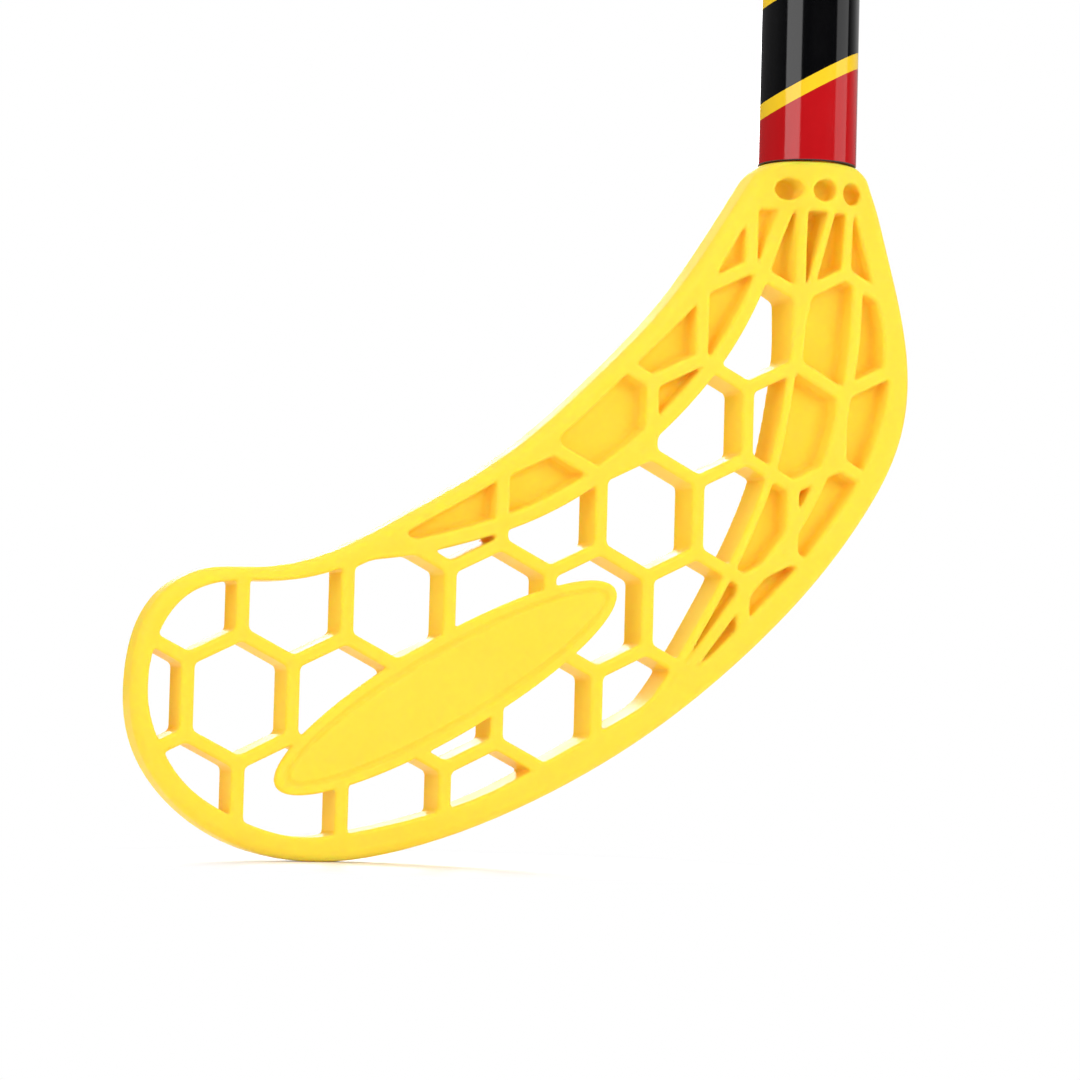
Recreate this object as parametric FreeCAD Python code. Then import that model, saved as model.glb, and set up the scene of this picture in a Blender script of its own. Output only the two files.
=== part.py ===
import FreeCAD, Part
import math
import os

from FreeCAD import Vector

# Floorball stick. +Z runs up the shaft, the blade lies in the XZ plane with its toe towards -X,
# and the origin is on the shaft's axis at the middle of the grip. Lengths are in millimetres.

# Shaft tube and its printed film
shaft_length = 756.0
shaft_radius = 13.3
shaft_wall = 1.6
film_thickness = 0.12
film_setback = 0.7

# Grip sleeve and the band that finishes its lower edge
grip_length = 230.0
grip_wall = 2.2
grip_edge_round = 1.0
band_length = 14.0
band_wall = 1.2
band_edge_round = 0.6

# End cap
cap_lip = 1.6
cap_thickness = 4.0
cap_edge_round = 1.5
plug_length = 30.0
plug_wall = 2.2

# Fits between pieces that come apart
plug_clearance = 0.08
seat_gap = 0.3
overrun = 5.0

# Blade moulding
blade_length = 217.4
blade_height = 190.6
toe_thickness = 11.5
heel_thickness = 13.5
edge_round = 3.0
web_thickness = 1.8
neck_height = 45.0

# Hexagon lattice of the blade, counted from the rib beside the shaft's axis
lattice_pitch = 28.0
rib_upright = 19.1
rib_rise = 6.9
rib_width = 3.6
lattice_offset = 4.7
lattice_drop = 45.4
neck_rib_width = 3.0
neck_rib_lean = 1.5

# Curved ribs that cross the lattice
upper_band_width = 4.0
inner_band_width = 2.4
outer_band_width = 3.2

# Oval plate on the front face of the blade
plate_length = 107.0
plate_width = 25.4
plate_tilt = 30.3
plate_thickness = 2.4

# Round collar under the shaft, its dimples and the tang above it
collar_height = 3.0
shoulder_drop = 9.0
shoulder_flare = 12.5
dimple_radius = 2.85
dimple_turn = 44.4
dimple_drop = 7.5
dimple_depth = 4.6
tang_length = 62.0
tang_core_radius = 6.0
tang_floor = 12.0
flute_radius = 2.6
flute_count = 6

# Places on the blade: shares of its length from the toe, and of its height from the sole
axis_share = 0.8615
plate_centre_shares = (0.391, 0.2415)
outline_shares = [
    (0.781, 0.982), (0.765, 0.953), (0.719, 0.871), (0.672, 0.796), (0.578, 0.681), (0.463, 0.565),
    (0.323, 0.466), (0.229, 0.412), (0.150, 0.393), (0.084, 0.387), (0.030, 0.347), (0.001, 0.250),
    (0.011, 0.150), (0.055, 0.077), (0.135, 0.020), (0.225, 0.000), (0.343, 0.018), (0.528, 0.099),
    (0.661, 0.188), (0.778, 0.293), (0.871, 0.398), (0.942, 0.503), (0.989, 0.609), (1.000, 0.690),
    (0.988, 0.796), (0.962, 0.901), (0.946, 0.957), (0.934, 0.987),
]
rim_shares = [
    (0.782, 0.931), (0.764, 0.902), (0.730, 0.836), (0.702, 0.789), (0.649, 0.727), (0.548, 0.614),
    (0.476, 0.548), (0.402, 0.495), (0.332, 0.448), (0.270, 0.405), (0.230, 0.387), (0.182, 0.376),
    (0.104, 0.370), (0.067, 0.353), (0.038, 0.315), (0.022, 0.259), (0.023, 0.196), (0.040, 0.146),
    (0.067, 0.103), (0.109, 0.069), (0.150, 0.048), (0.201, 0.034), (0.251, 0.036), (0.306, 0.048),
    (0.380, 0.070), (0.477, 0.115), (0.550, 0.162), (0.620, 0.206), (0.718, 0.281), (0.775, 0.341),
    (0.847, 0.424), (0.895, 0.493), (0.934, 0.561), (0.957, 0.626), (0.969, 0.695), (0.963, 0.752),
    (0.950, 0.810), (0.930, 0.884), (0.914, 0.931),
]
upper_band_shares = [
    (0.260, 0.417), (0.320, 0.424), (0.389, 0.442), (0.504, 0.490), (0.619, 0.577), (0.727, 0.705),
    (0.787, 0.828), (0.804, 0.884), (0.821, 0.945),
]
inner_band_shares = [
    (0.877, 0.945), (0.854, 0.831), (0.834, 0.700), (0.814, 0.575), (0.763, 0.430), (0.695, 0.291),
    (0.661, 0.233), (0.626, 0.194), (0.582, 0.165),
]
outer_band_shares = [
    (0.923, 0.831), (0.919, 0.740), (0.905, 0.648), (0.870, 0.533), (0.834, 0.470), (0.773, 0.379),
    (0.712, 0.289), (0.686, 0.250),
]

# Sections of the neck: share of its height down from the collar, half width as a share of the
# collar's radius, and share of the swell that is left there
neck_section_shares = [
    (0.0, 1.12, 1.0), (0.16, 1.08, 0.944), (0.42, 0.97, 0.685), (0.71, 0.825, 0.37), (1.0, 0.72, 0.074),
]
# Swell of one section: share of its half width, and of its rise from the depth where it starts
neck_swell_shares = [(1.0, 0.0), (0.835, 0.09), (0.61, 0.32), (0.39, 0.77), (0.0, 1.0)]
neck_sink_share = 0.885
neck_crown_share = 0.98

# Limits: the edge rounding as a share of the toe's thickness, the smallest cell of a rib's square
largest_round_share = 0.45
smallest_cell_share = 0.5

# Worked out from the sizes above
bore_radius = shaft_radius - shaft_wall
plug_radius = bore_radius - plug_clearance
grip_radius = shaft_radius + grip_wall
shaft_top = grip_length / 2
shaft_bottom = shaft_top - shaft_length
neck_top = shaft_bottom - seat_gap
collar_radius = shaft_radius
sole = neck_top - blade_height
toe = -axis_share * blade_length
heel = toe + blade_length
row_pitch = rib_upright + rib_rise
lattice_x = -lattice_offset
lattice_z = neck_top - lattice_drop
reach = collar_radius + overrun


def blade_point(shares):
    across, up = shares
    return Vector(toe + across * blade_length, 0, sole + up * blade_height)


def spline(points):
    curve = Part.BSplineCurve()
    curve.interpolate(points)
    return curve.toShape()


def face_of(edges):
    return Part.Face(Part.Wire(edges))


def polygon_face(points):
    return Part.Face(Part.makePolygon(points + points[:1]))


def strip_face(points, width):
    """A flat strip of one width along a smooth curve through the points."""
    left = []
    right = []
    for index, point in enumerate(points):
        before = points[max(index - 1, 0)]
        after = points[min(index + 1, len(points) - 1)]
        along = (after - before).normalize()
        side = Vector(-along.z, 0, along.x) * (width / 2)
        left.append(point + side)
        right.append(point - side)
    return face_of([
        spline(left),
        Part.makeLine(left[-1], right[-1]),
        spline(right[::-1]),
        Part.makeLine(right[0], left[0]),
    ])


def both_sides(face, start, depth):
    """The face pushed out along +Y and -Y, from start to start plus depth."""
    front = face.translated(Vector(0, -start, 0)).extrude(Vector(0, -depth, 0))
    back = face.translated(Vector(0, start, 0)).extrude(Vector(0, depth, 0))
    return [front, back]


def half_thickness(x):
    grown = (x - toe) / blade_length * (heel_thickness - toe_thickness)
    return (toe_thickness + grown) / 2


def carried_up(before, last):
    """The point a little above the collar, on the line through two points of the outline."""
    step = last - before
    rise = neck_top + overrun / 2 - last.z
    return last + step * (rise / step.z)


def outline_face():
    """The blade's outline, with both sides carried on above the collar, where it is trimmed off later."""
    points = [blade_point(share) for share in outline_shares]
    left = carried_up(points[1], points[0])
    right = carried_up(points[-2], points[-1])
    return face_of([spline([left] + points + [right]), Part.makeLine(right, left)])


def thickness_wedge():
    """A block as thick as the blade, thinner at the toe, and larger than its outline."""
    low = toe - overrun
    high = heel + overrun
    foot = polygon_face([
        Vector(low, -half_thickness(low), sole - overrun),
        Vector(high, -half_thickness(high), sole - overrun),
        Vector(high, half_thickness(high), sole - overrun),
        Vector(low, half_thickness(low), sole - overrun),
    ])
    return foot.extrude(Vector(0, 0, blade_height + overrun + overrun))


def outline_block():
    """The blade's outline, pushed out as far as the collar reaches."""
    front, back = both_sides(outline_face(), 0, reach)
    return front.fuse(back).removeSplitter()


def blade_slab():
    """The flat of the blade, with a round edge."""
    slab = outline_block().common(thickness_wedge())
    rounding = min(edge_round, toe_thickness * largest_round_share)
    rim_edges = [edge for edge in slab.Edges if edge.Length > blade_length]
    return slab.makeFillet(rounding, rim_edges)


def neck():
    """The neck, which swells in smooth sections from the flat of the blade to the round collar."""
    low = neck_sink_share * half_thickness(0)
    crown = neck_crown_share * collar_radius - low
    wires = []
    for drop, width, rise in neck_section_shares:
        z = neck_top - drop * neck_height
        half = [
            (across * width * collar_radius, low + crown * rise * swell)
            for across, swell in neck_swell_shares
        ]
        whole = half + [(-x, y) for x, y in half[-2::-1]]
        front = [Vector(x, -y, z) for x, y in whole]
        back = [Vector(x, y, z) for x, y in whole[::-1]]
        wires.append(Part.Wire([
            spline(front),
            Part.makeLine(front[-1], back[0]),
            spline(back),
            Part.makeLine(back[-1], front[0]),
        ]))
    collar = Part.makeCylinder(collar_radius, collar_height, Vector(0, 0, neck_top - collar_height))
    return Part.makeLoft(wires, True).fuse(collar)


def shoulder_trim():
    """What is taken off round the collar, so that it meets the shaft as a circle."""
    base = Vector(0, 0, neck_top - shoulder_drop)
    outer = collar_radius + shoulder_flare
    cone = Part.makeCone(outer, collar_radius, shoulder_drop, base)
    block = Part.makeCylinder(blade_height, shoulder_drop + overrun, base)
    return block.cut(cone)


def lattice_cells(row):
    """The hexagons of one row of the lattice, each set in by half a rib."""
    half_pitch = lattice_pitch / 2
    slant = math.hypot(half_pitch, rib_rise)
    wide = half_pitch - rib_width / 2
    tall = rib_upright / 2 + rib_rise - rib_width / 2 * slant / half_pitch
    side = tall - wide * rib_rise / half_pitch
    shape = [(0, tall), (wide, side), (wide, -side), (0, -tall), (-wide, -side), (-wide, side)]
    shift = half_pitch if row % 2 == 0 else 0
    first = math.floor((toe - lattice_x) / lattice_pitch) - 1
    last = math.ceil((heel - lattice_x) / lattice_pitch) + 1
    cells = []
    for column in range(first, last):
        x = lattice_x + shift + column * lattice_pitch
        z = lattice_z + row * row_pitch
        cells.append(polygon_face([Vector(x + across, 0, z + up) for across, up in shape]))
    return Part.makeCompound(cells)


def inside_of_rim():
    """The field inside the rim that the lattice fills, less the curved ribs that cross it."""
    points = [blade_point(share) for share in rim_shares]
    field = face_of([spline(points), Part.makeLine(points[-1], points[0])])
    foot = Vector(lattice_x, 0, lattice_z + rib_upright / 2)
    head = Vector(lattice_x - neck_rib_lean, 0, neck_top)
    upright = strip_face([foot, (foot + head) / 2, head], neck_rib_width)
    bands = [
        strip_face([blade_point(share) for share in upper_band_shares], upper_band_width),
        strip_face([blade_point(share) for share in inner_band_shares], inner_band_width),
        strip_face([blade_point(share) for share in outer_band_shares], outer_band_width),
    ]
    return field.cut(bands + [upright])


def open_zone():
    """The toe and the middle of the blade, where the lattice goes right through."""
    upper = [blade_point(share) for share in upper_band_shares]
    inner = [blade_point(share) for share in inner_band_shares]
    below = Vector(inner[-1].x, 0, sole - overrun)
    corner = Vector(toe - overrun, 0, sole - overrun)
    above = Vector(toe - overrun, 0, upper[0].z)
    return face_of([
        spline(upper),
        Part.makeLine(upper[-1], inner[0]),
        spline(inner),
        Part.makeLine(inner[-1], below),
        Part.makeLine(below, corner),
        Part.makeLine(corner, above),
        Part.makeLine(above, upper[0]),
    ])


def cell_cuts():
    """The cutters of the open cells and, from both faces, of the blind pockets."""
    field = inside_of_rim()
    through = open_zone()
    smallest = smallest_cell_share * rib_width ** 2
    lowest = math.floor((sole - lattice_z) / row_pitch)
    highest = math.ceil((neck_top - lattice_z) / row_pitch)
    cuts = []
    for row in range(lowest, highest):
        cells = lattice_cells(row).common(field)
        opened = cells.common(through).Faces if row <= 0 else []
        blind = cells.cut(through).Faces if row <= 0 else cells.Faces
        for face in opened:
            if face.Area > smallest:
                cuts += both_sides(face, 0, reach)
        for face in blind:
            if face.Area > smallest:
                cuts += both_sides(face, web_thickness / 2, reach)
    return cuts


def plate():
    """The oval plate that covers the lattice on the front face, level with that face."""
    centre = blade_point(plate_centre_shares)
    tilt = math.radians(plate_tilt)
    end = centre + Vector(math.cos(tilt), 0, math.sin(tilt)) * (plate_length / 2)
    side = centre + Vector(-math.sin(tilt), 0, math.cos(tilt)) * (plate_width / 2)
    oval = face_of([Part.Ellipse(end, side, centre).toShape()])
    wedge = thickness_wedge()
    column = oval.extrude(Vector(0, -heel_thickness, 0)).common(wedge)
    return column.cut(wedge.translated(Vector(0, plate_thickness, 0)))


def dimple_cuts():
    """The three blind dimples on each side of the collar."""
    cuts = []
    for place in (-1, 0, 1):
        turn = math.radians(place * dimple_turn)
        centre = Vector(collar_radius * math.sin(turn), 0, neck_top - dimple_drop)
        circle = Part.Circle(centre, Vector(0, 1, 0), dimple_radius)
        start = collar_radius * math.cos(turn) - dimple_depth
        cuts += both_sides(face_of([circle.toShape()]), start, reach)
    return cuts


def tang():
    """The fluted, cored spigot that goes up into the tube."""
    start = neck_top - overrun
    body = Part.makeCylinder(plug_radius, overrun + tang_length, Vector(0, 0, start))
    cuts = [Part.makeCylinder(tang_core_radius, tang_length, Vector(0, 0, neck_top + tang_floor))]
    for index in range(flute_count):
        turn = 2 * math.pi * index / flute_count
        place = Vector(plug_radius * math.cos(turn), plug_radius * math.sin(turn), neck_top)
        cuts.append(Part.makeCylinder(flute_radius, tang_length + overrun, place))
    return body.cut(cuts)


def blade():
    body = blade_slab().fuse(neck()).cut(shoulder_trim())
    body = body.cut(cell_cuts() + dimple_cuts())
    return body.fuse([plate(), tang()]).removeSplitter()


def sleeve(inner, outer, low, high):
    """A plain ring from one height to another."""
    foot = Vector(0, 0, low)
    outside = Part.makeCylinder(outer, high - low, foot)
    return outside.cut(Part.makeCylinder(inner, high - low, foot))


def rounded_sleeve(inner, outer, low, high, rounding):
    """A ring whose two outer edges are rounded."""
    ring = sleeve(inner, outer, low, high)
    rims = [edge for edge in ring.Edges if hasattr(edge.Curve, "Radius") and edge.Curve.Radius > inner]
    rims = [edge for edge in rims if len(edge.Vertexes) == 1]
    return ring.makeFillet(min(rounding, (outer - inner) / 2), rims)


def shaft_tube():
    return sleeve(bore_radius, shaft_radius, shaft_bottom, shaft_top)


def shaft_film():
    top = -grip_length / 2 - band_length
    return sleeve(shaft_radius, shaft_radius + film_thickness, shaft_bottom + film_setback, top)


def grip_sleeve():
    return rounded_sleeve(shaft_radius, grip_radius, -grip_length / 2, shaft_top, grip_edge_round)


def grip_band():
    top = -grip_length / 2
    return rounded_sleeve(shaft_radius, shaft_radius + band_wall, top - band_length, top, band_edge_round)


def end_cap():
    seat = shaft_top + seat_gap
    flange = Part.makeCylinder(shaft_radius + cap_lip, cap_thickness, Vector(0, 0, seat))
    top_edge = [edge for edge in flange.Edges if edge.BoundBox.ZMin > seat + cap_thickness / 2]
    flange = flange.makeFillet(min(cap_edge_round, cap_thickness / 2), top_edge)
    plug = sleeve(plug_radius - plug_wall, plug_radius, seat - plug_length, seat)
    return flange.fuse(plug).removeSplitter()


def main():
    os.makedirs("parts", exist_ok=True)
    pieces = {
        "blade": blade(),
        "shaft_tube": shaft_tube(),
        "shaft_film": shaft_film(),
        "grip_sleeve": grip_sleeve(),
        "grip_band": grip_band(),
        "end_cap": end_cap(),
    }
    for name, shape in pieces.items():
        print(name, len(shape.Solids), shape.isValid(), round(shape.Volume), shape.BoundBox)
        shape.exportStep("parts/" + name + ".step")


main()
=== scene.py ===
"""Floorball stick: the dressed model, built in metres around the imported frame."""

import itertools
import logging
import math
from dataclasses import dataclass
from enum import Enum

import bmesh
import bpy
import numpy as np
from mathutils import Matrix, Vector


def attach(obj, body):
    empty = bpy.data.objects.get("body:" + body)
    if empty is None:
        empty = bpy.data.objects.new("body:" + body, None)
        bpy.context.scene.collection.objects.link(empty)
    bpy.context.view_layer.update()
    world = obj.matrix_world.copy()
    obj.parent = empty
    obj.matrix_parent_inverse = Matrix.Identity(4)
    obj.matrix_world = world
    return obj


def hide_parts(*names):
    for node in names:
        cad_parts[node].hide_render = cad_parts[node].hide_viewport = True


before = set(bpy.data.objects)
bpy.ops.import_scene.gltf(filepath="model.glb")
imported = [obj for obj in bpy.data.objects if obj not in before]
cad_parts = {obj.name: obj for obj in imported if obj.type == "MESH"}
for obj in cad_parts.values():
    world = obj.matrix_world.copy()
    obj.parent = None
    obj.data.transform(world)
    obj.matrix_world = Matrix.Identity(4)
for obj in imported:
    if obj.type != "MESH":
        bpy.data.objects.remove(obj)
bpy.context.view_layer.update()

MM = 0.001
LOG = logging.getLogger("stick")
Colour = tuple[float, float, float]
Place = tuple[float, float, float]
Pair = tuple[float, float]
Array = np.ndarray
Grid = tuple[Array, Array, Array]
Socket = bpy.types.NodeSocket
Material = bpy.types.Material
Piece = bpy.types.Object
UNIT: Pair = (0.0, 1.0)
WHITE: Colour = (1.0, 1.0, 1.0)
FAR = 1e9
TINY = 1e-9
MERGE_DISTANCE = 1e-6
CUBE = np.array(list(itertools.product((0, 1), repeat=3)))


class Body(Enum):
    """Bodies of the frame that a piece can ride on."""

    SHAFT = "shaft"
    BLADE = "blade"
    CAP = "cap"


class Ink(Enum):
    """Colours of the printed film."""

    RED = (0.47, 0.006, 0.009)
    BLACK = (0.0015, 0.0015, 0.002)
    YELLOW = (0.90, 0.58, 0.02)


def rgba(colour: Colour) -> tuple[float, float, float, float]:
    """A colour with full opacity, as node sockets take it."""
    return (*colour, 1.0)


class NodeSheet:
    """A node tree under construction, with short ways to add and join nodes."""

    def __init__(self, tree: bpy.types.NodeTree) -> None:
        """Takes the tree that the nodes go into."""
        self.tree = tree

    def add(self, kind: str, inputs: dict | None = None, **settings: object) -> bpy.types.Node:
        """Adds one node.

        Args:
            kind: Class name of the node.
            inputs: A value or a source socket for each named or numbered input.
            settings: Properties of the node.

        Returns:
            The new node.
        """
        node = self.tree.nodes.new(kind)
        for name, value in settings.items():
            setattr(node, name, value)
        for name, value in (inputs or {}).items():
            if isinstance(value, Socket):
                self.tree.links.new(value, node.inputs[name])
            else:
                node.inputs[name].default_value = value
        return node

    def math(self, operation: str, first: object, second: object = 0.0) -> Socket:
        """Adds a Math node and returns its result."""
        return self.add("ShaderNodeMath", {0: first, 1: second}, operation=operation).outputs[0]

    def noise(self, place: Socket, scale: float, detail: float) -> Socket:
        """Adds a Noise Texture and returns its value."""
        inputs = {"Vector": place, "Scale": scale, "Detail": detail}
        return self.add("ShaderNodeTexNoise", inputs).outputs[0]

    def remap(self, value: Socket, source: Pair, target: Pair) -> Socket:
        """Adds a Map Range node and returns its result."""
        inputs = {0: value, 1: source[0], 2: source[1], 3: target[0], 4: target[1]}
        return self.add("ShaderNodeMapRange", inputs).outputs[0]

    def mix(self, factor: Socket, first: object, second: object) -> Socket:
        """Adds a colour Mix node and returns its colour."""
        return self.add("ShaderNodeMix", {0: factor, 6: first, 7: second}, data_type="RGBA").outputs[2]

    def sight(self) -> tuple[Socket, Socket]:
        """Adds a Light Path node and returns its shares of seen and of mirrored light."""
        ray = self.add("ShaderNodeLightPath").outputs
        return ray["Is Camera Ray"], self.math("MAXIMUM", ray["Is Glossy Ray"], ray["Is Transmission Ray"])


def new_material(name: str) -> tuple[Material, NodeSheet]:
    """Makes an empty node material.

    Args:
        name: Name of the material.

    Returns:
        The material and the sheet to fill it with.
    """
    material = bpy.data.materials.new(name)
    material.use_nodes = True
    material.node_tree.nodes.clear()
    return material, NodeSheet(material.node_tree)


@dataclass(frozen=True)
class Finish:
    """A surface with a cloudy colour, uneven gloss and a fine grain."""

    name: str
    colour: Colour
    shade: Colour
    roughness: float
    roughness_spread: float = 0.06
    specular: float = 0.5
    cloud_scale: float = 28.0
    cloud_detail: float = 5.0
    cloud_span: Pair = (0.35, 0.65)
    gloss_ratio: float = 5.0
    gloss_detail: float = 6.0
    gloss_span: Pair = (0.3, 0.7)
    grain_scale: float = 1800.0
    grain_detail: float = 3.0
    grain_depth: float = 0.00003
    grain_strength: float = 0.25
    subsurface: float = 0.0
    subsurface_radius: Colour = (0.010, 0.0025, 0.0004)

    def tint(self, sheet: NodeSheet, place: Socket) -> Socket:
        """The colour over the surface: two close tones in soft clouds."""
        cloud = sheet.remap(sheet.noise(place, self.cloud_scale, self.cloud_detail), self.cloud_span, UNIT)
        return sheet.mix(cloud, rgba(self.colour), rgba(self.shade))

    def height(self, sheet: NodeSheet, place: Socket) -> Socket:
        """The relief of the surface: an even grain."""
        return sheet.noise(place, self.grain_scale, self.grain_detail)

    def material(self) -> Material:
        """Builds the node material of this finish.

        Returns:
            The material.
        """
        material, sheet = new_material(self.name)
        place = sheet.add("ShaderNodeTexCoord").outputs["Object"]
        low = self.roughness - self.roughness_spread
        high = self.roughness + self.roughness_spread
        patches = sheet.noise(place, self.cloud_scale * self.gloss_ratio, self.gloss_detail)
        bump = sheet.add("ShaderNodeBump", {
            "Strength": self.grain_strength,
            "Distance": self.grain_depth,
            "Height": self.height(sheet, place),
        })
        shader = sheet.add("ShaderNodeBsdfPrincipled", {
            "Base Color": self.tint(sheet, place),
            "Roughness": sheet.remap(patches, self.gloss_span, (low, high)),
            "Specular IOR Level": self.specular,
            "Subsurface Weight": self.subsurface,
            "Subsurface Radius": self.subsurface_radius,
            "Subsurface Scale": 1.0,
            "Normal": bump.outputs[0],
        })
        sheet.add("ShaderNodeOutputMaterial", {"Surface": shader.outputs[0]})
        return material


@dataclass(frozen=True)
class PrintedFinish(Finish):
    """A glossy film printed with groups of straight slanted stripes."""

    low: float = -0.665
    high: float = -0.105
    slant_across: float = 0.55
    slant_deep: float = 0.15
    haze_span: Pair = (0.3, 0.7)
    haze_share: Pair = (0.88, 1.0)
    stripes: tuple[tuple[float, Ink], ...] = ()

    def tint(self, sheet: NodeSheet, place: Socket) -> Socket:
        """The printed inks: each stripe runs from its start up to the next one's.

        Args:
            sheet: Node tree of the material.
            place: Coordinates of the piece.

        Returns:
            The colour of the print, a little uneven.
        """
        axes = sheet.add("ShaderNodeSeparateXYZ", {0: place}).outputs
        across = sheet.math("MULTIPLY", axes["X"], -self.slant_across)
        deep = sheet.math("MULTIPLY", axes["Y"], self.slant_deep)
        level = sheet.math("ADD", sheet.math("ADD", axes["Z"], across), deep)
        ramp = sheet.add("ShaderNodeValToRGB", {0: sheet.remap(level, (self.low, self.high), UNIT)})
        ramp.color_ramp.interpolation = "CONSTANT"
        elements = ramp.color_ramp.elements
        elements.remove(elements[1])
        elements[0].color = rgba(Ink.RED.value)
        for start, ink in self.stripes:
            share = (start - self.low) / (self.high - self.low)
            elements.new(share).color = rgba(ink.value)
        cloud = sheet.noise(place, self.cloud_scale, self.cloud_detail)
        inputs = {0: 1.0, 6: ramp.outputs[0], 7: sheet.remap(cloud, self.haze_span, self.haze_share)}
        return sheet.add("ShaderNodeMix", inputs, data_type="RGBA", blend_type="MULTIPLY").outputs[2]


@dataclass(frozen=True)
class FibreFinish(Finish):
    """Bare composite with fine fibres wound round the tube."""

    fibre_scale: float = 900.0
    fibre_bend: float = 2.0

    def height(self, sheet: NodeSheet, place: Socket) -> Socket:
        """The relief of the surface: fibres in rings, broken by the grain.

        Args:
            sheet: Node tree of the material.
            place: Coordinates of the piece.

        Returns:
            The height of the relief.
        """
        inputs = {"Vector": place, "Scale": self.fibre_scale, "Distortion": self.fibre_bend}
        wave = sheet.add("ShaderNodeTexWave", inputs, bands_direction="Z").outputs[1]
        return sheet.math("ADD", wave, super().height(sheet, place))


YELLOW_PLASTIC = Finish(
    "yellow_plastic", (0.995, 0.680, 0.068), (0.990, 0.670, 0.063), 0.34, specular=0.05, cloud_scale=22.0,
    grain_depth=0.00002, grain_strength=0.2, subsurface=0.7,
)
BLACK_PLASTIC = Finish(
    "black_plastic", (0.011, 0.011, 0.012), (0.018, 0.018, 0.019), 0.40, grain_scale=2600.0,
    grain_strength=0.5,
)
GRIP_RUBBER = Finish(
    "grip_rubber", (0.009, 0.009, 0.010), (0.016, 0.016, 0.017), 0.46, specular=0.35, grain_scale=1500.0,
    grain_depth=0.00006, grain_strength=0.6,
)
BAND_TAPE = Finish(
    "band_tape", (0.86, 0.56, 0.025), (0.80, 0.51, 0.022), 0.30, cloud_scale=60.0, grain_scale=700.0,
)
TUBE_COMPOSITE = FibreFinish("tube_composite", (0.014, 0.014, 0.015), (0.024, 0.024, 0.026), 0.42)
PRINTED_FILM = PrintedFinish(
    "printed_film", Ink.RED.value, Ink.RED.value, 0.09, roughness_spread=0.02, grain_scale=260.0,
    grain_depth=0.00004, grain_strength=0.05,
    stripes=(
        (-0.6215, Ink.YELLOW), (-0.6175, Ink.BLACK), (-0.5920, Ink.YELLOW), (-0.5880, Ink.RED),
        (-0.5820, Ink.BLACK), (-0.5760, Ink.RED), (-0.5710, Ink.BLACK), (-0.5680, Ink.RED),
        (-0.2580, Ink.BLACK), (-0.2550, Ink.RED), (-0.2500, Ink.BLACK), (-0.2440, Ink.RED),
        (-0.2365, Ink.YELLOW), (-0.2325, Ink.BLACK), (-0.1900, Ink.YELLOW), (-0.1860, Ink.RED),
    ),
)


def link(obj: Piece) -> Piece:
    """Puts an object into the scene and returns it."""
    bpy.context.scene.collection.objects.link(obj)
    return obj


def new_piece(name: str, points: Array, quads: Array, material: Material) -> Piece:
    """Makes a smooth mesh object of four-sided faces.

    Args:
        name: Name of the object and its mesh.
        points: Corner points in metres, one row each.
        quads: Four point numbers for each face.
        material: Material of all faces.

    Returns:
        The linked object.
    """
    mesh = bpy.data.meshes.new(name)
    mesh.from_pydata(points.tolist(), [], quads.tolist())
    mesh.shade_smooth()
    mesh.materials.append(material)
    return link(bpy.data.objects.new(name, mesh))


def settle(piece: Piece, body: Body, node: str | None = None) -> None:
    """Ties a finished piece to the frame.

    Args:
        piece: The finished mesh object.
        body: Body that the piece moves with.
        node: CAD node that the piece stands for, if any.
    """
    if node:
        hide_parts(node)
    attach(piece, body.value)
    LOG.info("%s: %d faces on %s", piece.name, len(piece.data.polygons), body.value)


def softened(corners: list[tuple[float, float, float]], steps: int = 6, margin: float = 0.25) -> list[Pair]:
    """Rounds the corners of a closed profile.

    Args:
        corners: Radius, height and rounding of each corner, in millimetres.
        steps: Facets of each rounding.
        margin: Distance from a rounding to the extra point that keeps the flats flat.

    Returns:
        Radius and height of each point of the rounded profile.
    """
    points = []
    count = len(corners)
    for index, (radius, height, rounding) in enumerate(corners):
        here = Vector((radius, height))
        before = Vector(corners[index - 1][:2]) - here
        after = Vector(corners[(index + 1) % count][:2]) - here
        half = before.angle(after) / 2
        reach = rounding / math.tan(half)
        start = here + before.normalized() * reach
        end = here + after.normalized() * reach
        points.append(start + before.normalized() * min(margin, before.length / 4))
        for step in range(steps + 1):
            share = step / steps
            points.append(start * (1 - share) ** 2 + here * 2 * share * (1 - share) + end * share ** 2)
        points.append(end + after.normalized() * min(margin, after.length / 4))
    return [tuple(point) for point in points]


def tube_profile(radii: Pair, heights: Pair, roundings: Pair, steps: int = 6) -> list[Pair]:
    """Profile of a plain round tube with softened edges, in millimetres.

    Args:
        radii: Radius inside and outside.
        heights: Height of the lower and the upper end.
        roundings: Rounding of the edges inside and outside.
        steps: Facets of each rounding.

    Returns:
        Radius and height of each point of the profile.
    """
    (inner, outer), (low, high), (inside, outside) = radii, heights, roundings
    corners = [(inner, low, inside), (outer, low, outside), (outer, high, outside), (inner, high, inside)]
    return softened(corners, steps)


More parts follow.
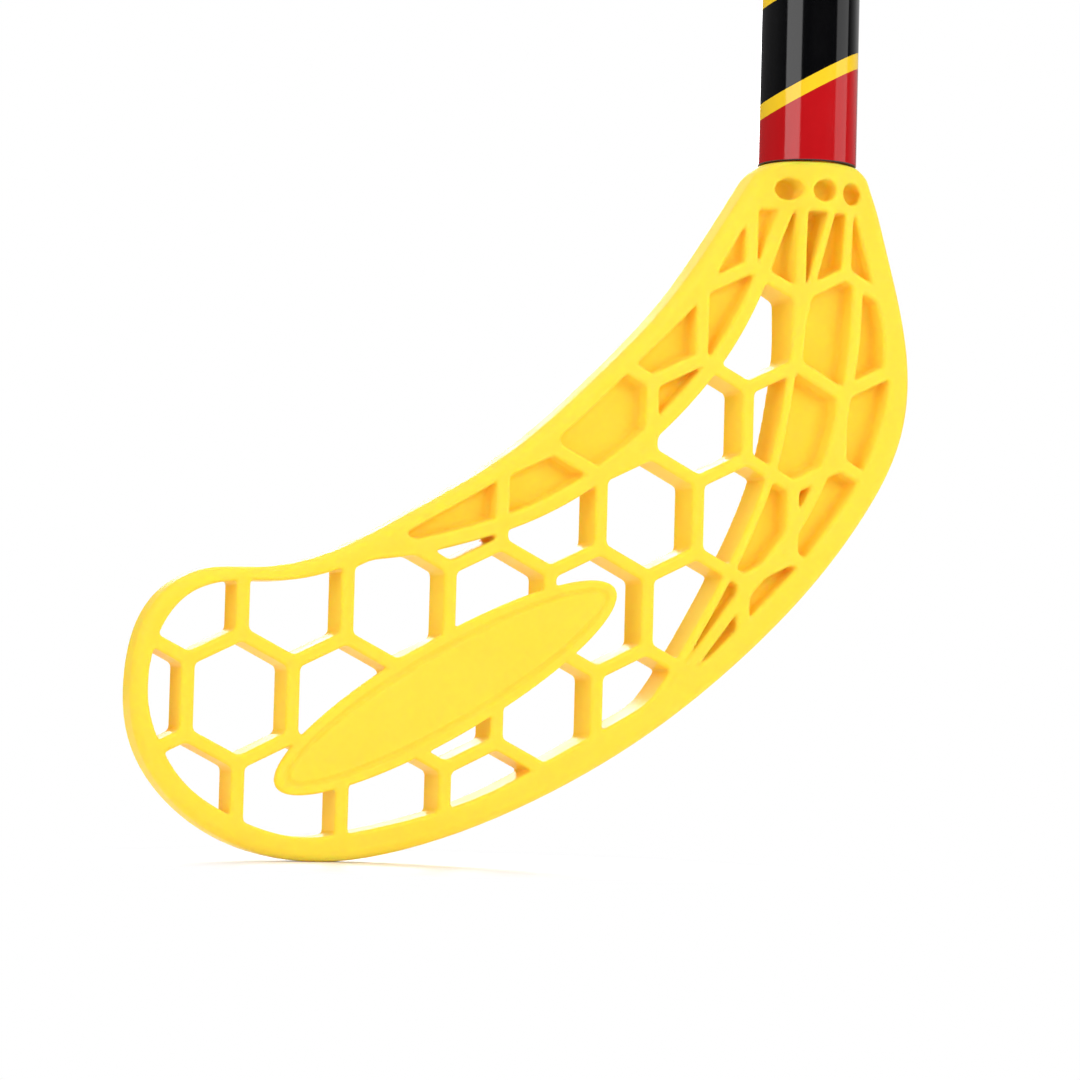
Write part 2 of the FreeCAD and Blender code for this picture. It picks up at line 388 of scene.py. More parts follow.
def turned(name: str, profile: list[Pair], material: Material, segments: int = 160) -> Piece:
    """Turns a closed profile about the shaft's axis.

    Args:
        name: Name of the object and its mesh.
        profile: Radius and height of each point, in millimetres.
        material: Material of all faces.
        segments: Faces round the axis.

    Returns:
        The linked object, closed at its poles.
    """
    turns = np.linspace(0, 2 * math.pi, segments, endpoint=False)
    radius, height = np.array(profile).T * MM
    grid = np.stack([
        np.outer(np.cos(turns), radius),
        np.outer(np.sin(turns), radius),
        np.broadcast_to(height, (segments, len(profile))),
    ], axis=-1)
    here = np.arange(segments * len(profile)).reshape(segments, -1)
    beside = np.roll(here, -1, axis=0)
    quads = np.stack([here, beside, np.roll(beside, -1, axis=1), np.roll(here, -1, axis=1)], axis=-1)
    piece = new_piece(name, grid.reshape(-1, 3), quads.reshape(-1, 4), material)
    shell = bmesh.new()
    shell.from_mesh(piece.data)
    bmesh.ops.remove_doubles(shell, verts=shell.verts, dist=MERGE_DISTANCE)
    bmesh.ops.recalc_face_normals(shell, faces=shell.faces)
    shell.to_mesh(piece.data)
    shell.free()
    return piece


def size_tree(name: str, sizes: dict[str, float]) -> tuple[bpy.types.NodeTree, NodeSheet, bpy.types.Node]:
    """A geometry tree with one named input for each size.

    Args:
        name: Name of the tree.
        sizes: Names of the inputs, with the values they are given later.

    Returns:
        The tree, a sheet to fill it with, and its input node.
    """
    tree = bpy.data.node_groups.new(name, "GeometryNodeTree")
    for label in sizes:
        tree.interface.new_socket(name=label, in_out="INPUT", socket_type="NodeSocketFloat")
    tree.interface.new_socket(name="Geometry", in_out="OUTPUT", socket_type="NodeSocketGeometry")
    sheet = NodeSheet(tree)
    return tree, sheet, sheet.add("NodeGroupInput")


def close_tree(sheet: NodeSheet, shape: Socket, material: Material) -> None:
    """Ends a geometry tree: real, smooth faces with their material.

    Args:
        sheet: The tree to end.
        shape: What the tree has made.
        material: Material of all faces.
    """
    real = sheet.add("GeometryNodeRealizeInstances", {0: shape}).outputs[0]
    smooth = sheet.add("GeometryNodeSetShadeSmooth", {0: real}).outputs[0]
    dressed = sheet.add("GeometryNodeSetMaterial", {"Geometry": smooth, "Material": material}).outputs[0]
    sheet.add("NodeGroupOutput", {0: dressed})


def lifted(sheet: NodeSheet, shape: Socket, rise: Socket) -> Socket:
    """Adds a Transform node that lifts a shape, and returns its result."""
    way = sheet.add("ShaderNodeCombineXYZ", {"Z": rise}).outputs[0]
    return sheet.add("GeometryNodeTransform", {"Geometry": shape, "Translation": way}).outputs[0]


def baked(piece: Piece) -> Piece:
    """Turns what a piece's modifiers give into its plain mesh.

    Args:
        piece: An object with live modifiers.

    Returns:
        The same object, with no modifier left on it.
    """
    graph = bpy.context.evaluated_depsgraph_get()
    mesh = bpy.data.meshes.new_from_object(piece.evaluated_get(graph))
    piece.modifiers.clear()
    piece.data = mesh
    return piece


def grown(name: str, tree: bpy.types.NodeTree, sizes: dict[str, float]) -> Piece:
    """Runs a geometry tree with the sizes given and keeps its result as a plain mesh.

    Args:
        name: Name of the new object.
        tree: The finished geometry tree.
        sizes: Value of each named input, in metres or turns.

    Returns:
        The linked object, with no modifier left on it.
    """
    piece = link(bpy.data.objects.new(name, bpy.data.meshes.new(name)))
    modifier = piece.modifiers.new(name, "NODES")
    modifier.node_group = tree
    for item in tree.interface.items_tree:
        if item.in_out == "INPUT":
            modifier[item.identifier] = sizes[item.name]
    return baked(piece)


def meet(first: Array, second: Array, rounding: float) -> Array:
    """Distance field of what two fields share, with its edge rounded."""
    corner = np.hypot(np.maximum(first + rounding, 0), np.maximum(second + rounding, 0))
    return np.minimum(np.maximum(first, second), -rounding) + corner


def join(first: Array, second: Array, reach: float) -> Array:
    """Distance field of two fields together, with a smooth fillet of that reach."""
    near = np.maximum(reach - np.abs(first - second), 0) / reach
    return np.minimum(first, second) - near * near * (reach / 4)


def smooth_line(points: Array, per_span: int = 8) -> Array:
    """Points along the natural cubic spline through the given points.

    Args:
        points: One row for each point that the line goes through.
        per_span: Steps between two given points.

    Returns:
        The points of the line, one row each.
    """
    spans = np.hypot(*np.diff(points, axis=0).T)
    count = len(points)
    system = np.eye(count)
    wanted = np.zeros((count, 2))
    slopes = np.diff(points, axis=0) / spans[:, None]
    for index in range(1, count - 1):
        left, right = spans[index - 1], spans[index]
        system[index, index - 1:index + 2] = (left, 2 * (left + right), right)
        wanted[index] = 6 * (slopes[index] - slopes[index - 1])
    bends = np.linalg.solve(system, wanted)
    line = []
    for index, span in enumerate(spans):
        ahead = np.linspace(0, span, per_span, endpoint=False)[:, None]
        back = span - ahead
        start = points[index] / span - bends[index] * span / 6
        end = points[index + 1] / span - bends[index + 1] * span / 6
        cubic = (bends[index] * back ** 3 + bends[index + 1] * ahead ** 3) / (6 * span)
        line.append(cubic + start * back + end * ahead)
    return np.vstack(line + [points[-1:]])


def line_distance(x: Array, z: Array, line: Array) -> Array:
    """Distance of each grid point from an open line of straight steps.

    Args:
        x: Columns of the grid.
        z: Rows of the grid.
        line: Points of the line, one row each.

    Returns:
        One distance for each grid point.
    """
    best = np.full((x.size, z.size), FAR, dtype=np.float32)
    for (x0, z0), (x1, z1) in zip(line[:-1].astype(np.float32), line[1:].astype(np.float32)):
        dx, dz = x1 - x0, z1 - z0
        share = np.clip(((x - x0) * dx + (z - z0) * dz) / (dx * dx + dz * dz + TINY), 0, 1)
        np.minimum(best, (x - x0 - share * dx) ** 2 + (z - z0 - share * dz) ** 2, out=best)
    return np.sqrt(best)


def region(x: Array, z: Array, line: Array) -> Array:
    """Signed distance of each grid point from a closed region.

    Args:
        x: Columns of the grid.
        z: Rows of the grid.
        line: Points round the region, one row each.

    Returns:
        The distances, negative inside the region.
    """
    ring = np.vstack([line, line[:1]])
    inside = np.zeros((x.size, z.size), dtype=bool)
    for (x0, z0), (x1, z1) in zip(ring[:-1], ring[1:]):
        if z0 != z1:
            inside ^= ((z0 > z) != (z1 > z)) & (x < (x1 - x0) * (z - z0) / (z1 - z0) + x0)
    distance = line_distance(x, z, ring)
    return np.where(inside, -distance, distance)


def surface_net(values: Array, low: Array, step: float) -> tuple[Array, Array]:
    """Meshes the zero surface of a field on a regular grid.

    Args:
        values: Field values, negative inside the solid.
        low: Place of the first grid point.
        step: Distance between grid points.

    Returns:
        The points of the surface and its four-sided faces.
    """
    inside = values < 0
    shape = tuple(size - 1 for size in values.shape)
    total = np.zeros(shape, dtype=np.uint8)
    for i, j, k in CUBE:
        total += inside[i:i + shape[0], j:j + shape[1], k:k + shape[2]]
    cells = np.argwhere((total > 0) & (total < len(CUBE)))
    numbers = np.full(shape, -1, dtype=np.int32)
    numbers[tuple(cells.T)] = np.arange(len(cells))
    summed = np.zeros((len(cells), 3))
    hits = np.zeros((len(cells), 1))
    for near, far in itertools.combinations(CUBE, 2):
        if np.abs(far - near).sum() != 1:
            continue
        start = values[tuple((cells + near).T)].astype(float)
        end = values[tuple((cells + far).T)].astype(float)
        crossed = ((start < 0) != (end < 0))[:, None]
        share = (start / np.where(start == end, 1, start - end))[:, None]
        summed += np.where(crossed, near + share * (far - near), 0)
        hits += crossed
    points = low + (cells + summed / hits) * step
    quads = []
    for axis in range(3):
        ahead = np.roll(inside, -1, axis=axis)
        window = [slice(1, -1)] * 3
        window[axis] = slice(0, -1)
        edge = np.argwhere(inside[tuple(window)] != ahead[tuple(window)])
        edge += np.array([0 if other == axis else 1 for other in range(3)])
        right = np.eye(3, dtype=int)[(axis + 1) % 3]
        up = np.eye(3, dtype=int)[(axis + 2) % 3]
        ring = [edge - right - up, edge - up, edge, edge - right]
        faces = np.stack([numbers[tuple(cell.T)] for cell in ring], axis=-1)
        flip = ~inside[tuple(edge.T)]
        faces[flip] = faces[flip][:, ::-1]
        quads.append(faces)
    return points, np.vstack(quads)


def sampled(values: Array, places: Array) -> Array:
    """Values of a grid field at places between its points.

    Args:
        values: Field values on the grid.
        places: Places counted in grid steps, one row each.

    Returns:
        One value for each place.
    """
    base = np.clip(np.floor(places).astype(int), 0, np.array(values.shape) - 2)
    share = places - base
    result = np.zeros(len(places))
    for corner in CUBE:
        weight = np.prod(np.where(corner, share, 1 - share), axis=1)
        result += weight * values[tuple((base + corner).T)]
    return result


@dataclass
class BladePlan:
    """The blade drawn flat: x towards the heel and z up, in millimetres.

    Tables of places are in thousandths of its length and height.
    """

    length: float = 217.4
    height: float = 190.6
    toe: float = -187.29
    sole: float = -831.9
    pitch: float = 28.0
    upright: float = 19.1
    rise: float = 6.9
    rib: float = 3.6
    lattice_x: float = -4.7
    lattice_z: float = -686.7
    columns: range = range(-8, 3)
    low_rows: range = range(-6, 1)
    high_rows: range = range(1, 3)
    corner_round: float = 0.8
    upper_band: float = 4.0
    inner_band: float = 2.4
    outer_band: float = 3.2
    neck_rib: float = 3.0
    neck_rib_lean: float = 1.5
    plate_length: float = 107.0
    plate_width: float = 25.4
    plate_tilt: float = 30.3
    plate_place: Pair = (391, 241.5)
    least_slope: float = 1e-4
    carry: float = 2.0
    outline: tuple[Pair, ...] = (
        (781, 982), (765, 953), (719, 871), (672, 796), (578, 681), (463, 565), (323, 466), (229, 412),
        (150, 393), (84, 387), (30, 347), (1, 250), (11, 150), (55, 77), (135, 20), (225, 0), (343, 18),
        (528, 99), (661, 188), (778, 293), (871, 398), (942, 503), (989, 609), (1000, 690), (988, 796),
        (962, 901), (946, 957), (934, 987),
    )
    rim: tuple[Pair, ...] = (
        (782, 931), (764, 902), (730, 836), (702, 789), (649, 727), (548, 614), (476, 548), (402, 495),
        (332, 448), (270, 405), (230, 387), (182, 376), (104, 370), (67, 353), (38, 315), (22, 259),
        (23, 196), (40, 146), (67, 103), (109, 69), (150, 48), (201, 34), (251, 36), (306, 48),
        (380, 70), (477, 115), (550, 162), (620, 206), (718, 281), (775, 341), (847, 424), (895, 493),
        (934, 561), (957, 626), (969, 695), (963, 752), (950, 810), (930, 884), (914, 931),
    )
    upper: tuple[Pair, ...] = (
        (260, 417), (320, 424), (389, 442), (504, 490), (619, 577), (727, 705), (787, 828), (804, 884),
        (821, 945),
    )
    inner: tuple[Pair, ...] = (
        (877, 945), (854, 831), (834, 700), (814, 575), (763, 430), (695, 291), (661, 233), (626, 194),
        (582, 165),
    )
    outer: tuple[Pair, ...] = (
        (923, 831), (919, 740), (905, 648), (870, 533), (837, 470), (773, 379), (712, 289), (686, 250),
    )

    def places(self, shares: tuple[Pair, ...]) -> Array:
        """Points in millimetres for the places of a table."""
        return np.array(shares) / 1000 * (self.length, self.height) + (self.toe, self.sole)

    def curve(self, shares: tuple[Pair, ...]) -> Array:
        """Points along the smooth line through such places."""
        return smooth_line(self.places(shares))

    def silhouette(self, x: Array, z: Array) -> Array:
        """Signed distance from the blade's outline, carried on straight above the neck.

        Args:
            x: Columns of the grid.
            z: Rows of the grid.

        Returns:
            The distances, negative on the blade.
        """
        points = self.places(self.outline)
        left = points[0] + (points[0] - points[1]) * self.carry
        right = points[-1] + (points[-1] - points[-2]) * self.carry
        return region(x, z, smooth_line(np.vstack([left, points, right])))

    def hexagons(self, x: Array, z: Array, rows: range) -> Array:
        """Signed distance from the round-cornered hexagons of some rows of the lattice.

        Args:
            x: Columns of the grid.
            z: Rows of the grid.
            rows: Numbers of the rows of hexagons.

        Returns:
            The distances, negative in a hexagon.
        """
        half = self.pitch / 2
        slant = math.hypot(half, self.rise)
        wide = half - self.rib / 2
        tall = self.upright / 2 + self.rise - self.rib / 2 * slant / half
        best = np.full((x.size, z.size), FAR, dtype=np.float32)
        for row in rows:
            rise = np.abs(z - self.lattice_z - row * (self.upright + self.rise))
            for column in self.columns:
                across = x - self.lattice_x - column * self.pitch - (half if row % 2 == 0 else 0)
                right = (across * self.rise + (rise - tall) * half) / slant
                left = (-across * self.rise + (rise - tall) * half) / slant
                roof = meet(left, right, self.corner_round)
                cell = meet(roof, np.abs(across) - wide, self.corner_round)
                np.minimum(best, cell, out=best)
        return best

    def lattice(self, x: Array, z: Array) -> tuple[Array, Array]:
        """Signed distances from the cells of the lattice.

        Args:
            x: Columns of the grid.
            z: Rows of the grid.

        Returns:
            The distances from the cells that go right through, and from the blind pockets.
        """
        field = region(x, z, self.curve(self.rim))
        foot = np.array((self.lattice_x, self.lattice_z + self.upright / 2))
        head = np.array((self.lattice_x - self.neck_rib_lean, self.sole + self.height))
        upper = self.curve(self.upper)
        inner = self.curve(self.inner)
        ribs = [
            (upper, self.upper_band),
            (inner, self.inner_band),
            (self.curve(self.outer), self.outer_band),
            (np.vstack([foot, head]), self.neck_rib),
        ]
        for line, width in ribs:
            field = meet(field, width / 2 - line_distance(x, z, line), self.corner_round)
        margin = self.length / 20
        corners = np.array([
            (inner[-1, 0], self.sole - margin),
            (self.toe - margin, self.sole - margin),
            (self.toe - margin, upper[0, 1]),
        ])
        zone = region(x, z, np.vstack([upper, inner, corners]))
        low = meet(self.hexagons(x, z, self.low_rows), field, self.corner_round)
        high = meet(self.hexagons(x, z, self.high_rows), field, self.corner_round)
        return np.maximum(low, zone), np.minimum(np.maximum(low, -zone), high)

    def oval(self, x: Array, z: Array) -> Array:
        """Signed distance from the oval plate's edge.

        Args:
            x: Columns of the grid.
            z: Rows of the grid.

        Returns:
            The distances, negative on the plate.
        """
        centre = self.places((self.plate_place,))[0]
        tilt = math.radians(self.plate_tilt)
        along = (x - centre[0]) * math.cos(tilt) + (z - centre[1]) * math.sin(tilt)
        aside = (z - centre[1]) * math.cos(tilt) - (x - centre[0]) * math.sin(tilt)
        long, short = self.plate_length / 2, self.plate_width / 2
        share = np.hypot(along / long, aside / short)
        steep = np.hypot(along / long ** 2, aside / short ** 2)
        return share * (share - 1) / np.maximum(steep, self.least_slope)


@dataclass
class Blade:
    """The yellow moulding: lattice blade, neck and the tang inside the shaft, in millimetres."""

    plan: BladePlan
    step: float = 0.6
    triangles: int = 185000
    toe_thickness: float = 11.5
    heel_thickness: float = 13.5
    edge_round: float = 3.0
    rib_round: float = 1.0
    floor_round: float = 1.5
    draft: float = 0.12
    web: float = 1.8
    web_swell_share: float = 0.45
    collar: float = 13.3
    neck_top: float = -641.3
    neck_height: float = 45.0
    neck_blend: float = 6.0
    neck_ease: float = 0.92
    shoulder_drop: float = 9.0
    shoulder_flare: float = 12.5
    shoulder_round: float = 0.8
    top_round: float = 0.4
    dimple_radius: float = 2.85
    dimple_stretch: float = 1.18
    dimple_turn: float = 44.4
    dimple_drop: float = 7.5
    dimple_depth: float = 6.2
    dimple_round: float = 1.6
    dimple_edge: float = 0.7
    plate_thickness: float = 2.4
    plate_round: float = 0.7
    groove_inset: float = 3.4
    groove_width: float = 1.3
    groove_depth: float = 0.6
    groove_round: float = 0.4
    tang_length: float = 62.0
    tang_radius: float = 11.62
    tang_round: float = 0.8
    tang_overlap: float = 1.0
    tang_core: float = 6.0
    tang_floor: float = 12.0
    core_round: float = 1.0
    core_edge: float = 0.4
    flute_radius: float = 2.6
    flute_round: float = 0.5
    flutes: int = 6
    normal_reach: float = 0.5
    neck_shares: tuple[Pair, ...] = (
        (0.0, 1.0), (0.16, 0.955), (0.42, 0.81), (0.71, 0.64), (1.0, 0.46), (3.0, -0.8),
    )

    def swell(self, z: Array) -> Array:
        """Radius of the round neck.

        Args:
            z: Heights of the grid.

        Returns:
            One radius for each height.
        """
        drops, widths = np.array(self.neck_shares).T
        share = np.interp((self.neck_top - z) / self.neck_height, drops, widths)
        return share.astype(np.float32) * self.collar

    def body(self, grid: Grid, half: Array) -> Array:
        """The flat of the blade and its neck, trimmed to a circle under the shaft.

        Args:
            grid: Axes of the grid along, through and up the blade.
            half: Half of the blade's thickness at each place along it.

        Returns:
            The distance field of the body, negative inside it.
        """
        x, y, z = grid
        outline = self.plan.silhouette(x[:, 0], z[:, 0])[:, None, :]
        flat = meet(outline, np.abs(y) - half, self.edge_round)
        radius = np.hypot(x, y)
        drop = self.neck_top - z
        flat = join(flat, (radius - self.swell(z)) * self.neck_ease, self.neck_blend)
        steep = self.shoulder_flare / self.shoulder_drop
        trim = (radius - self.collar - np.maximum(drop, 0) * steep) / math.hypot(1, steep)
        flat = meet(flat, trim, self.shoulder_round)
        return meet(flat, -drop, self.top_round)

    def dimples(self, grid: Grid) -> Array:
        """The blind dimples round the collar, three on each face.

        Args:
            grid: Axes of the grid along, through and up the blade.

        Returns:
            The distance field of the dimples, negative inside them.
        """
        x, y, z = grid
        best = None
        for place in (-1, 0, 1):
            turn = math.radians(place * self.dimple_turn)
            across = x - self.collar * math.sin(turn)
            drop = z - self.neck_top + self.dimple_drop
            wall = np.hypot(across / self.dimple_stretch, drop) - self.dimple_radius
            floor = self.collar * math.cos(turn) - self.dimple_depth - np.abs(y)
            dimple = meet(wall, floor, self.dimple_round)
            best = dimple if best is None else np.minimum(best, dimple)
        return best

    def tang(self, grid: Grid) -> Array:
        """The fluted, cored spigot above the collar.

        Args:
            grid: Axes of the grid along, through and up the blade.

        Returns:
            The distance field of the spigot, negative inside it.
        """
        x, y, z = grid
        radius = np.hypot(x, y)
        section = radius - self.tang_radius
        for index in range(self.flutes):
            turn = 2 * math.pi * index / self.flutes
            across = x - self.tang_radius * math.cos(turn)
            deep = y - self.tang_radius * math.sin(turn)
            section = meet(section, self.flute_radius - np.hypot(across, deep), self.flute_round)
        top = z - self.neck_top - self.tang_length
        solid = meet(section, np.maximum(top, self.neck_top - self.tang_overlap - z), self.tang_round)
        core = meet(radius - self.tang_core, self.neck_top + self.tang_floor - z, self.core_round)
        return meet(solid, -core, self.core_edge)

    def values(self, grid: Grid) -> Array:
        """The whole moulding.

        Args:
            grid: Axes of the grid along, through and up the blade.

        Returns:
            The distance field of the moulding, negative inside it.
        """
        plan = self.plan
        x, y, z = grid
        gain = (x - plan.toe) / plan.length * (self.heel_thickness - self.toe_thickness)
        half = (self.toe_thickness + gain) / 2
        opened, blind = plan.lattice(x[:, 0], z[:, 0])
        taper = np.maximum(half - np.abs(y), 0) * self.draft
        floor = self.web / 2 + np.maximum(self.swell(z) - half, 0) * self.web_swell_share
        pocket = meet(blind[:, None, :] + taper, floor - np.abs(y), self.floor_round)
        solid = self.body(grid, half)
        solid = meet(solid, -np.minimum(pocket, opened[:, None, :]), self.rib_round)
        oval = plan.oval(x[:, 0], z[:, 0])
        level = y + half
        layer = np.abs(level - self.plate_thickness / 2) - self.plate_thickness / 2
        solid = np.minimum(solid, meet(oval[:, None, :], layer, self.plate_round))
        ring = np.abs(oval + self.groove_inset) - self.groove_width / 2
        groove = np.maximum(ring[:, None, :], level - self.groove_depth)
        solid = meet(solid, -groove, self.groove_round)
        solid = meet(solid, -self.dimples(grid), self.dimple_edge)
        return np.minimum(solid, self.tang(grid)).astype(np.float32)

    def build(self) -> Piece:
        """Meshes the field, thins the mesh and gives it the field's normals.

        Returns:
            The linked object of the moulding.
        """
        plan = self.plan
        margin = 2 * self.step
        low = np.array((plan.toe, -self.collar, plan.sole)) - margin
        high = np.array((plan.toe + plan.length, self.collar, self.neck_top + self.tang_length)) + margin
        axes = [np.arange(a, b, self.step, dtype=np.float32) for a, b in zip(low, high)]
        values = self.values(np.ix_(*axes))
        points, quads = surface_net(values, low, self.step)
        piece = new_piece("blade_moulding", points * MM, quads, YELLOW_PLASTIC.material())
        thin = piece.modifiers.new("thin", "DECIMATE")
        thin.ratio = min(1.0, self.triangles / (2 * len(quads)))
        mesh = baked(piece).data
        places = np.empty(3 * len(mesh.vertices), dtype=np.float32)
        mesh.vertices.foreach_get("co", places)
        grid = (places.reshape(-1, 3) / MM - low) / self.step
        shifts = np.eye(3) * self.normal_reach
        slopes = [sampled(values, grid + shift) - sampled(values, grid - shift) for shift in shifts]
        normals = np.stack(slopes, axis=-1)
        normals /= np.maximum(np.linalg.norm(normals, axis=1, keepdims=True), TINY)
        mesh.shade_smooth()
        mesh.normals_split_custom_set_from_vertices(normals.tolist())
        return piece

    def dress(self) -> None:
        """Builds the moulding in place of its CAD node."""
        settle(self.build(), Body.BLADE, "blade")


@dataclass
class Shaft:
    """The composite tube and the printed film round it, in millimetres."""

    radius: float = 13.3
    wall: float = 1.6
    low: float = -641.0
    high: float = 115.0
    film: float = 0.12
    film_low: float = -640.75
    film_high: float = -129.0
    tube_rounds: Pair = (0.3, 0.25)
    film_rounds: Pair = (0.01, 0.05)
    film_steps: int = 3
    segments: int = 192

    def dress(self) -> None:
        """Builds the tube and the film in place of their CAD nodes."""
        radii = (self.radius - self.wall, self.radius)
        profile = tube_profile(radii, (self.low, self.high), self.tube_rounds)
        piece = turned("shaft_tube_wall", profile, TUBE_COMPOSITE.material(), self.segments)
        settle(piece, Body.SHAFT, "shaft_tube")
        radii = (self.radius, self.radius + self.film)
        profile = tube_profile(radii, (self.film_low, self.film_high), self.film_rounds, self.film_steps)
        piece = turned("shaft_film_print", profile, PRINTED_FILM.material(), self.segments)
        settle(piece, Body.SHAFT, "shaft_film")


@dataclass
class Grip:
    """The wrapped grip, its raised wrap edge and studs, and the band below it, in millimetres."""

    inner: float = 13.3
    outer: float = 15.5
    low: float = -115.0
    high: float = 115.0
    wrap_rounds: Pair = (0.05, 1.0)
    turns: float = 9.0
    turn_steps: int = 64
    bead: float = 0.8
    bead_sink: float = 0.3
    bead_sides: int = 12
    end_margin: float = 4.0
    stud: float = 1.1
    stud_sink: float = 0.6
    stud_pitch: float = 6.5
    stud_lanes: int = 3
    stud_segments: int = 10
    stud_rings: int = 6
    band_outer: float = 14.5
    band_length: float = 14.0
    band_rounds: Pair = (0.05, 0.6)

    @property
    def climb(self) -> float:
        """Height that the wrap's edge winds up."""
        return self.high - self.low - 2 * self.end_margin

    def winding(self, sheet: NodeSheet, given: bpy.types.Node) -> Socket:
        """Adds the spiral that the wrap follows.

        Args:
            sheet: The tree that the spiral goes into.
            given: Input node of the tree, with the spiral's sizes.

        Returns:
            The curve of the spiral.
        """
        return sheet.add("GeometryNodeCurveSpiral", {
            "Resolution": self.turn_steps,
            "Rotations": given.outputs["Turns"],
            "Start Radius": given.outputs["Radius"],
            "End Radius": given.outputs["Radius"],
            "Height": given.outputs["Height"],
        }).outputs[0]

    def wrap_edge(self, material: Material) -> Piece:
        """The raised edge of the wrap, a bead that winds up the grip.

        Args:
            material: Material of the bead.

        Returns:
            The linked object.
        """
        sizes = {
            "Turns": self.turns,
            "Radius": (self.outer - self.bead_sink) * MM,
            "Height": self.climb * MM,
            "Start": (self.low + self.end_margin) * MM,
            "Bead": self.bead * MM,
        }
        tree, sheet, given = size_tree("wrap_edge", sizes)
        section = sheet.add("GeometryNodeCurvePrimitiveCircle", {
            "Resolution": self.bead_sides, "Radius": given.outputs["Bead"],
        })
        bead = sheet.add("GeometryNodeCurveToMesh", {
            "Curve": self.winding(sheet, given), "Profile Curve": section.outputs[0], "Fill Caps": True,
        })
        close_tree(sheet, lifted(sheet, bead.outputs[0], given.outputs["Start"]), material)
        return grown("grip_wrap_edge", tree, sizes)

    def studs(self, material: Material) -> Piece:
        """Small round studs in rows between the turns of the wrap's edge.

        Args:
            material: Material of the studs.

        Returns:
            The linked object.
        """
        sizes = {
            "Turns": self.turns - 1,
            "Radius": (self.outer - self.stud_sink) * MM,
            "Height": self.climb * (1 - 1 / self.turns) * MM,
            "Start": (self.low + self.end_margin) * MM,
            "Lane": self.climb / self.turns / (self.stud_lanes + 1) * MM,
            "Pitch": self.stud_pitch * MM,
            "Stud": self.stud * MM,
        }
        tree, sheet, given = size_tree("studs", sizes)
        spaced = sheet.add("GeometryNodeResampleCurve", {
            "Curve": self.winding(sheet, given), "Length": given.outputs["Pitch"],
        }, mode="LENGTH")
        dot = sheet.add("GeometryNodeMeshUVSphere", {
            "Segments": self.stud_segments, "Rings": self.stud_rings, "Radius": given.outputs["Stud"],
        })
        row = sheet.add("GeometryNodeInstanceOnPoints", {
            "Points": spaced.outputs[0], "Instance": dot.outputs[0],
        })
        together = sheet.add("GeometryNodeJoinGeometry")
        for index in range(self.stud_lanes):
            above = sheet.math("MULTIPLY", given.outputs["Lane"], index + 1.0)
            rise = sheet.math("ADD", above, given.outputs["Start"])
            sheet.tree.links.new(lifted(sheet, row.outputs[0], rise), together.inputs[0])
        close_tree(sheet, together.outputs[0], material)
        return grown("grip_studs", tree, sizes)

    def dress(self) -> None:
        """Builds the grip and its band in place of their CAD nodes."""
        rubber = GRIP_RUBBER.material()
        profile = tube_profile((self.inner, self.outer), (self.low, self.high), self.wrap_rounds)
        settle(turned("grip_wrap", profile, rubber), Body.SHAFT, "grip_sleeve")
        settle(self.wrap_edge(rubber), Body.SHAFT)
        settle(self.studs(rubber), Body.SHAFT)
        heights = (self.low - self.band_length, self.low)
        profile = tube_profile((self.inner, self.band_outer), heights, self.band_rounds)
        piece = turned("grip_band_tape", profile, BAND_TAPE.material())
        settle(piece, Body.SHAFT, "grip_band")


@dataclass
class EndCap:
    """The plug that closes the top of the shaft, in millimetres."""

    seat: float = 115.3
    thickness: float = 4.0
    flange: float = 14.9
    flange_round: float = 1.5
    lip_round: float = 0.3
    plug: float = 11.62
    plug_wall: float = 2.2
    plug_length: float = 30.0
    root_round: float = 0.2
    foot_round: float = 0.5
    foot_inner_round: float = 0.3
    bore_round: float = 0.6
    ring: float = 8.5
    ring_width: float = 1.2
    ring_depth: float = 0.5
    ring_round: float = 0.2

    def dress(self) -> None:
        """Builds the cap in place of its CAD node."""
        top = self.seat + self.thickness
        foot = self.seat - self.plug_length
        bore = self.plug - self.plug_wall
        groove = top - self.ring_depth
        ring_outer = self.ring + self.ring_width
        profile = [
            (0.0, self.seat, 0.0), (bore, self.seat, self.bore_round),
            (bore, foot, self.foot_inner_round), (self.plug, foot, self.foot_round),
            (self.plug, self.seat, self.root_round), (self.flange, self.seat, self.lip_round),
            (self.flange, top, self.flange_round), (ring_outer, top, self.ring_round),
            (ring_outer, groove, self.ring_round), (self.ring, groove, self.ring_round),
            (self.ring, top, self.ring_round), (0.0, top, 0.0),
        ]
        piece = turned("end_cap_moulding", softened(profile), BLACK_PLASTIC.material())
        settle(piece, Body.CAP, "end_cap")


@dataclass(frozen=True)
class Lamp:
    """A soft rectangular lamp, which a glossy surface may mirror."""

    name: str
    place: Place
    size: Pair
    power: float
    aim: Place = (-0.05, 0.0, -0.60)
    mirrored: bool = True

    def build(self) -> None:
        """Makes the lamp, turned towards its aim."""
        light = bpy.data.lights.new(self.name, "AREA")
        light.shape = "RECTANGLE"
        light.size, light.size_y = self.size
        light.energy = self.power
        lamp = link(bpy.data.objects.new(self.name, light))
        lamp.visible_glossy = self.mirrored
        lamp.location = self.place
        lamp.rotation_euler = (Vector(self.aim) - Vector(self.place)).to_track_quat("-Z", "Y").to_euler()


